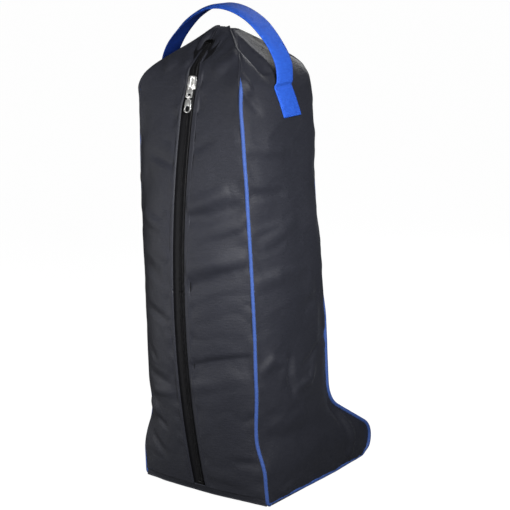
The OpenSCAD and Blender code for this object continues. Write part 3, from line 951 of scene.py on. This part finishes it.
def piping(side):
    """Corded piping. Its ends taper into the seam, and it sits lower in the cloth on the left."""
    path = seam_loop(side)
    x, y, z = path.T  # the three columns themselves, so that moving them moves the path
    run = np.arange(len(path)) * CORD_STEP
    ends = np.minimum(run, run[-1] - run)
    radius = PIPING_R * (0.35 + 0.65 * ease(ends / 22)) + 0.08 * lattice(run / 11, 0 * run, 95 + side)
    sunk = 2.6 * (1 - ease(ends / 20))
    x += side * (0.35 * lattice(run / 38, 0 * run, 91 + side) - 0.7 * sunk)
    y += np.where(run < run[-1] / 2, 1, -1) * sunk
    if side == LEFT:
        hidden = 0.4 * ease((z - 150) / 80) + 1.8 * ease((z - PIPING_TOP + 80) / 40)
        hidden *= ease((HEEL_Y + 20 - y) / 15)
        x -= side * hidden
        y += hidden
    else:
        proud = ease(ends / 30) * ease((HEEL_Y + 12 - y) / 8)
        x += side * 0.3 * proud
        y -= 0.9 * proud
    x -= side * 2.4 * ease((SEAM_Z + 12 - z) / 10) * ease((y - HEEL_Y - 3) / 8)
    thing = tube("piping_cord_" + SIDE_NAMES[side], path, radius, CORD_CLOTH, sides=14)
    finished(thing, ["piping_" + SIDE_NAMES[side]], "bag")


FOLD_START = {LEFT: PIPING_TOP - 64, RIGHT: PIPING_TOP - 14}
"""Where the cloth closes over each heel seam. The left piping sinks behind it."""


def roof_seams():
    """A thin fold of cloth closes each seam above the piping."""
    parts = []
    for side in (LEFT, RIGHT):
        for name, path, behind in (
            ("heel", heel_seam(side, FOLD_START[side], ROOF_Z - 2), 0.7),
            ("front", front_seam(side, PIPING_TOP - 14, ROOF_Z - 2), -0.7),
        ):
            inward = path + np.array([-side * 1.2, behind * (side == RIGHT), -0.8])
            start = ease((path[:, 2] - path[0, 2]) / 20)
            radius = 0.5 + 0.7 * start - 0.9 * ease((path[:, 2] - ROOF_Z + 14) / 12)
            parts.append(tube("roof_seam_" + name, inward, radius, BODY_CLOTH, sides=10))
    thing = joined("roof_seam_folds", parts)
    finished(thing, ["roof_seams"], "bag")


def joined(name, things):
    """Several pieces as one mesh."""
    merged = bmesh.new()
    for thing in things:
        merged.from_mesh(thing.data)
    mesh = bpy.data.meshes.new(name)
    merged.to_mesh(mesh)
    merged.free()
    mesh.materials.append(things[0].data.materials[0])
    for thing in things:
        bpy.data.objects.remove(thing)
    return placed(name, mesh)


# ---- stitches
HEM_STITCH = (3.1, 2.2, 0.55)
HANDLE_STITCH = (3.0, 2.2, 0.6)
"""Pitch, length and width of the stitches."""
STITCH_INSET = 3.0
"""Distance of the handle's stitches from the edge of the webbing."""


def capsules(centres, along, across, out, length, width, sides=6):
    """Points and faces of short rounded threads. Each has its own direction."""
    profile = np.array([(-1, 0.35), (-0.8, 0.85), (0, 1.1), (0.8, 0.85), (1, 0.35)])
    turn = around(sides)[:, None, None]
    ring = np.cos(turn) * across[None] + np.sin(turn) * out[None]
    steps = profile[:, 0][:, None, None, None] * along[None, None] * length / 2
    grown = profile[:, 1][:, None, None, None] * ring[None] * width / 2
    points = (centres[None, None] + steps + grown).transpose(2, 0, 1, 3)
    return points.reshape(-1, 3), copies(ring_faces(len(profile), sides, turned=True), len(centres))


def stitch_row(name, path, out, pitch, length, width, material):
    """A row of stitches on a surface, where out is the surface's normal along the path."""
    both = resample(np.hstack([path, out]), pitch)
    places, normals = both[:, :3], unit(both[:, 3:])
    along = unit(np.gradient(places, axis=0))
    across = np.cross(normals, along)
    points, faces = capsules(places + normals * width * 0.22, along, across, normals, length, width)
    run = np.repeat(np.arange(len(places)) * 1.0, len(points) // len(places))
    return mesh_object(name, points, faces, material, np.stack([run * 0, run], 1))


def heel_stitches(side):
    """One row beside the zip on the left, two on the right."""
    grid = heel_grid(side)
    normals = grid_normals(grid) * side
    widths = np.linalg.norm(grid - grid[:, :1], axis=2)
    rows = {RIGHT: (1.6, HEM[RIGHT]), LEFT: (HEM[LEFT],)}[side]
    for half in HALVES:
        keep = in_half(STATIONS, half)
        parts = []
        for away in rows:
            column = np.argmin(np.abs(np.median(widths, axis=0) - away))
            path, out = grid[keep][:, column], normals[keep][:, column]
            parts.append(stitch_row("row", path, out, *HEM_STITCH, THREAD))
        thing = joined("zip_stitches_" + half + "_" + SIDE_NAMES[side], parts)
        finished(thing, [], blended=flap_bend(side, half))


# ---- zip
TAPE_T = 0.9
TAPE_TOP = 627.0
TAPE_EDGE = 16.5
TOOTH_PITCH = 2.0
TOOTH_L = 3.5
TOOTH_W = 1.22
TOOTH_OUT = 1.288
CORE_X = 3.0
CORE_OUT = 0.75
CORE_R = 0.8


def strip_grid(stations, x, out):
    """A grid along the zip, one column for each x."""
    path = lifted(stations, out)
    grid = np.zeros((len(stations), len(x), 3))
    grid[..., 0] = x
    grid[..., 1:] = path[:, None]
    return grid


def zip_nodes(kind, side, half):
    """The CAD nodes that one half of one side of the tape or the coil stands for."""
    return [kind + "_top"] if half == "upper" else [kind + "_" + SIDE_NAMES[side], kind + "_low"]


def zip_stations(half):
    stations = STATIONS[STATIONS[:, 1] <= TAPE_TOP]
    return stations[in_half(stations, half)]


def zip_tape(side):
    x = np.array([0.7, 2.5, 5, 8, 11, 14, TAPE_EDGE])
    for half in HALVES:
        stations = zip_stations(half)
        grid = strip_grid(stations, side * x, 0.0)
        wave = 0.25 * lattice(stations[:, 1:2] / 17, x[None] / 9, 101 + side)
        grid = folded(grid, side, wave * ease((x - 4) / 6))
        name = "zip_tape_" + half + "_" + SIDE_NAMES[side]
        thing = shell(name, grid, TAPE_T, TAPE_CLOTH, side)
        finished(thing, zip_nodes("zip_tape", side, half), blended=flap_bend(side, half))


def zip_coil(side):
    """Interlocking turns of a nylon coil, over the cord that holds them."""
    offset = 0.25 * TOOTH_PITCH * side
    for half in HALVES:
        stations = resample(zip_stations(half), TOOTH_PITCH)
        centre = strip_grid(stations, [side * TOOTH_L / 2], TOOTH_OUT)[:, 0]
        angle = stations[:, 2]
        upward = np.stack([0 * angle, np.sin(angle), np.cos(angle)], 1)
        out = np.stack([0 * angle, -np.cos(angle), np.sin(angle)], 1)
        along = np.tile([1.0, 0, 0], (len(stations), 1)) + upward * 0.12 * side
        centre = centre + upward * offset
        points, faces = capsules(centre, along, upward, out * 1.55, TOOTH_L, TOOTH_W, sides=8)
        teeth = mesh_object("teeth", points, faces, COIL, np.zeros((len(points), 2)))
        core = tube("core", strip_grid(stations, [side * CORE_X], CORE_OUT)[:, 0], CORE_R, COIL, sides=8)
        thing = joined("zip_coil_" + half + "_" + SIDE_NAMES[side], [teeth, core])
        finished(thing, zip_nodes("zip_coil", side, half), blended=flap_bend(side, half))


# ---- handle
ARCH_H = 88.2
PIVOT_Z = high("handle_strap")[2] - ARCH_H
LEG_X = high("handle_strap")[0] - 1.2
ARCH_TOP = high("handle_strap")[2] - 1.4
END_LOW, END_HIGH = 526.0, 567.0
END_SKEW = math.tan(math.radians(17.0))
END_Y = HANDLE_Y - 4
HANDLE_BEND = (566.0, 604.0)
"""Heights between which the strap bends when the handle tips."""


def strap_line():
    """Middle of the strap from the left sewn end over the arch to the right one, as (x, y, z)."""
    arch = [(1.0, PIVOT_Z), (0.985, PIVOT_Z + 12), (0.91, PIVOT_Z + 28), (0.76, PIVOT_Z + 48),
            (0.55, PIVOT_Z + 67.5), (0.28, PIVOT_Z + 81.5), (0.0, ARCH_TOP)]
    half = []
    for z in (END_LOW, (END_LOW + END_HIGH) / 2, END_HIGH):
        y = END_Y + END_SKEW * (END_HIGH - z)
        half.append((float(side_x(RIGHT, np.array(y), np.array(z))) + 1.7, y, z))
    half.append((LEG_X + 1.6, HANDLE_Y - 3, END_HIGH + 6))
    half += [(LEG_X * share, HANDLE_Y, z) for share, z in arch]
    right = np.array(half)
    left = right[:-1] * [-1, 1, 1]
    return smooth_path(np.vstack([left, right[::-1]]), 2.0)


def smooth_path(points, step):
    """A Catmull-Rom curve through the points."""
    padded = np.vstack([2 * points[0] - points[1], points, 2 * points[-1] - points[-2]])
    t = np.linspace(0, 1, 12, endpoint=False)[:, None]
    spans = []
    for a, b, c, d in zip(padded[:-3], padded[1:-2], padded[2:-1], padded[3:]):
        spans.append(b + 0.5 * t * (c - a + t * (2 * a - 5 * b + 4 * c - d + t * (3 * (b - c) + d - a))))
    return resample(np.vstack([*spans, points[-1:]]), step)


CURLED = 0.3
"""Share of the strap's half width from which its near edge curls over."""


def strap(name, path, width, curl, face, back):
    """Webbing with rounded edges along a path. Its near edge curls in by an angle at each point. Its back
    faces take the second material, a darker copy of the webbing that paints shade on them.
    """
    across = np.tile([0, 1.0, 0], (len(path), 1))
    out = unit(np.cross(np.gradient(path, axis=0), across))
    half, t = width[:, None] / 2, WEB_T / 2
    share = np.array([-1, -0.97, -0.86, -0.6, -0.3, 0, 0.3, 0.6, 0.86, 0.97, 1])
    high_side = np.array([0, 0.7, 1, 1, 1, 1, 1, 1, 1, 0.7, 0]) * t
    section_w = np.concatenate([share, share[-2:0:-1]])
    section_t = np.concatenate([high_side, -high_side[-2:0:-1]])
    count = len(section_w)
    past = np.maximum(0, -section_w - CURLED)
    bend = np.maximum(curl[:, None], 0.01)
    reach = half * (1 - CURLED) / bend
    angle = bend * past / (1 - CURLED)
    over = half * section_w + half * past - reach * np.sin(angle) + np.sin(angle) * section_t
    under = -reach * (1 - np.cos(angle)) + np.cos(angle) * section_t
    over = np.where(past > 0, over, half * section_w)
    points = path[:, None] + across[:, None] * over[..., None] + out[:, None] * under[..., None]
    uvs = np.stack(np.broadcast_arrays(half * section_w, length_along(path)[:, None]), 2).reshape(-1, 2)
    thing = mesh_object(name, points.reshape(-1, 3), ring_faces(len(path), count), face, uvs)
    # The second material is painted shade for the back of the strap.
    thing.data.materials.append(back)
    # Faces on the back of the strap, which take the painted shade.
    inside = np.tile(np.arange(count) >= len(share) - 1, len(path) - 1)
    thing.data.polygons.foreach_set("material_index", np.append(inside, [False, False]).astype(np.int32))
    return thing, across, out


def handle():
    """The strap narrows above its sewn ends, and its near edge curls over along the arch."""
    path = strap_line()
    z = path[:, 2]
    pinch = 3.0 * bump((z - 578) / 16) + 3.0 * ease((z - 575) / 20) * (1 - ease((z - 620) / 30))
    width = WEB_W - pinch
    leftward = ease(0.5 - path[:, 0] / (1.6 * LEG_X))
    curl = np.radians(8 + 70 * leftward * (0.08 + 0.92 * ease((z - 615) / 50))) * ease((z - 572) / 22)
    # The back of the strap gets the darker webbing, painted shade for the inside of the arch.
    thing, across, out = strap("handle_webbing", path, width, curl, WEBBING, WEBBING_PAINTED_SHADE)
    stands_for = ["handle_strap", "handle_end_left", "handle_end_right"]
    finished(thing, stands_for, blended=bending("bag", "handle", HANDLE_BEND))
    for side in (LEFT, RIGHT):
        sewn = (np.sign(path[:, 0]) == side) & (z > END_LOW + 3) & (z < END_HIGH - 1)
        handle_stitches(side, path[sewn], across[sewn], out[sewn])


def handle_stitches(side, middle, across, normal):
    """A rectangle of stitches that sews one end of the strap to the bag."""
    half = (WEB_W / 2 - STITCH_INSET) * across
    edges = [(middle - half, normal), (middle + half, normal)]
    ends = (0, -1) if middle[0, 2] > middle[-1, 2] else (-1, 0)
    for end in ends:
        line = np.linspace(middle[end] - half[end], middle[end] + half[end], 12)
        edges.append((line, np.tile(normal[end], (12, 1))))
    rows = [stitch_row("edge", line + n * WEB_T / 2, n, *HANDLE_STITCH, BLUE_THREAD) for line, n in edges]
    finished(joined("handle_stitches_" + SIDE_NAMES[side], rows), [], "bag")


# ---- metal and moulded parts
def softened(node, material, body, width):
    """A copy of a metal CAD part with its edges rounded."""
    shape = bmesh.new()
    shape.from_mesh(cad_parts[node].data)
    bmesh.ops.remove_doubles(shape, verts=shape.verts, dist=0.00002)
    bmesh.ops.dissolve_limit(shape, angle_limit=math.radians(2), verts=shape.verts, edges=shape.edges)
    mesh = bpy.data.meshes.new(node + "_metal")
    shape.to_mesh(mesh)
    shape.free()
    mesh.materials.clear()
    mesh.materials.append(material)
    thing = placed(mesh.name, mesh)
    bevel = thing.modifiers.new("rounding", "BEVEL")
    bevel.width = width * MM
    bevel.segments = 3
    bevel.limit_method = "ANGLE"
    bevel.angle_limit = math.radians(35)
    bevel.use_clamp_overlap = True
    applied(thing)
    thing.data.polygons.foreach_set("use_smooth", [True] * len(thing.data.polygons))
    thing.data.set_sharp_from_angle(angle=math.radians(40))
    finished(thing, [node], body)


def applied(thing):
    """Turns the piece's modifiers into its mesh."""
    graph = bpy.context.evaluated_depsgraph_get()
    mesh = bpy.data.meshes.new_from_object(thing.evaluated_get(graph))
    thing.modifiers.clear()
    thing.data = mesh


def lathe(name, outline, places, material, sides=40):
    """The same turned part at several places. outline is (radius, z), from the bottom up."""
    part = np.array([(r * math.cos(a), r * math.sin(a), z) for r, z in outline for a in around(sides)])
    points = np.vstack([part + [x, y, 0] for x, y in places])
    faces = copies(ring_faces(len(outline), sides, turned=True), len(places))
    return mesh_object(name, points, faces, material, points[:, :2])


FOOT_R = 7.5


def feet():
    x = high("base_feet")[0] - FOOT_R
    ys = (low("base_feet")[1] + FOOT_R, high("base_feet")[1] - FOOT_R)
    places = [(side * x, y) for side in (LEFT, RIGHT) for y in ys]
    top = high("base_feet")[2]
    outline = [(3.4, 0.35), (3.8, 0.05), (4.9, 0.0), (5.6, 0.5), (7.1, 4.1), (7.45, 4.9), (7.3, 5.35),
               (6.4, 5.45), (2.0, 5.5), (2.0, top - 1), (3.2, top - 0.9), (3.2, top - 0.6),
               (2.4, top - 0.05), (1.6, top)]
    thing = lathe("rubber_feet", outline, places, RUBBER)
    finished(thing, ["base_feet"], "bag")


def kept_nodes():
    """CAD parts whose shape is already right, with a better finish."""
    for node, material in (("base_board", BOARD), ("foot_washers", METAL)):
        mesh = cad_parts[node].data
        mesh.materials.clear()
        mesh.materials.append(material)


# ---- light, floor and camera
def floor():
    """A pale floor. The camera sees it a little brighter than it lights the bag."""
    mesh = bpy.data.meshes.new("floor")
    shape = bmesh.new()
    bmesh.ops.create_grid(shape, x_segments=2, y_segments=2, size=12.0)
    shape.to_mesh(mesh)
    shape.free()
    thing = placed("floor", mesh)
    material, tree, shader = new_material("pale_floor", 0.8)
    shader.inputs["Base Color"].default_value = (0.12, 0.12, 0.12, 1)
    shader.inputs["Specular IOR Level"].default_value = 0.1
    shader.inputs["Emission Color"].default_value = (1, 1, 1, 1)
    ray = tree.nodes.new("ShaderNodeLightPath")
    seen = maths(tree, "MULTIPLY", ray.outputs["Is Camera Ray"], 0.98)
    link(tree, seen, shader.inputs["Emission Strength"])
    mesh.materials.append(material)


def aimed(thing, turn, rise, away, aim):
    """Puts a lamp or a camera at a distance from what it points at."""
    back = direction(turn, rise)
    thing.location = Vector(aim) + back * away
    thing.rotation_euler = back.to_track_quat("Z", "Y").to_euler()
    return thing


def softbox(name, turn, rise, away, aim, size, power, spread):
    """A round soft light. turn is its direction from the heel's side, towards the right."""
    data = bpy.data.lights.new(name, "AREA")
    data.shape = "DISK"
    data.size = size
    data.energy = power
    data.spread = math.radians(spread)
    aimed(placed(name, data), turn, rise, away, aim)


def studio():
    world = bpy.data.worlds.new("pale_studio")
    bpy.context.scene.world = world
    world.use_nodes = True
    tree = world.node_tree
    background = tree.nodes["Background"]
    background.inputs["Color"].default_value = (1, 1, 1, 1)
    ray = tree.nodes.new("ShaderNodeLightPath")
    seen = maths(tree, "MULTIPLY", ray.outputs["Is Camera Ray"], 0.95)
    link(tree, maths(tree, "ADD", seen, 0.05), background.inputs["Strength"])
    softbox("right_softbox", 56, 23, 1.15, (0, -0.12, 0.35), 0.4, 4.3, 60)
    softbox("left_softbox", -50, 4, 1.2, (0, -0.1, 0.16), 0.5, 2.1, 90)
    softbox("front_softbox", 195, 30, 1.8, (0, 0, 0.4), 0.9, 5, 120)
    bpy.context.scene.view_settings.view_transform = "Standard"


CAMERA_TURN = 38.477
CAMERA_RISE = 13.149
CAMERA_ROLL = -1.995
CAMERA_AWAY = 2.1
CAMERA_AIM = (0.0122, 0.0012, 0.3216)
CAMERA_LENS = 105.78


def camera():
    data = bpy.data.cameras.new("camera")
    data.lens = CAMERA_LENS
    data.sensor_width = 36.0
    data.clip_end = 50.0
    thing = aimed(placed("camera", data), CAMERA_TURN, CAMERA_RISE, CAMERA_AWAY, CAMERA_AIM)
    thing.rotation_euler.rotate_axis("Z", math.radians(CAMERA_ROLL))
    bpy.context.scene.camera = thing


camera()
floor()
studio()
for side in (LEFT, RIGHT):
    side_panel(side)
    heel_panel(side)
    heel_stitches(side)
    zip_tape(side)
    zip_coil(side)
    piping(side)
front_gusset()
heel_band()
base_panel()
roof_seams()
handle()
feet()
kept_nodes()
for node, body, width in (
    ("slider_body", "zip_slider", 0.35),
    ("slider_bridge", "zip_slider", 0.3),
    ("pull_link", "pull_link", 0.3),
    ("pull_tab", "pull_tab", 0.3),
):
    softened(node, METAL, body, width)
for node in ("zip_top_stop", "zip_bottom_stop"):
    softened(node, DARK_METAL, "bag", 0.4)

bpy.context.view_layer.update()
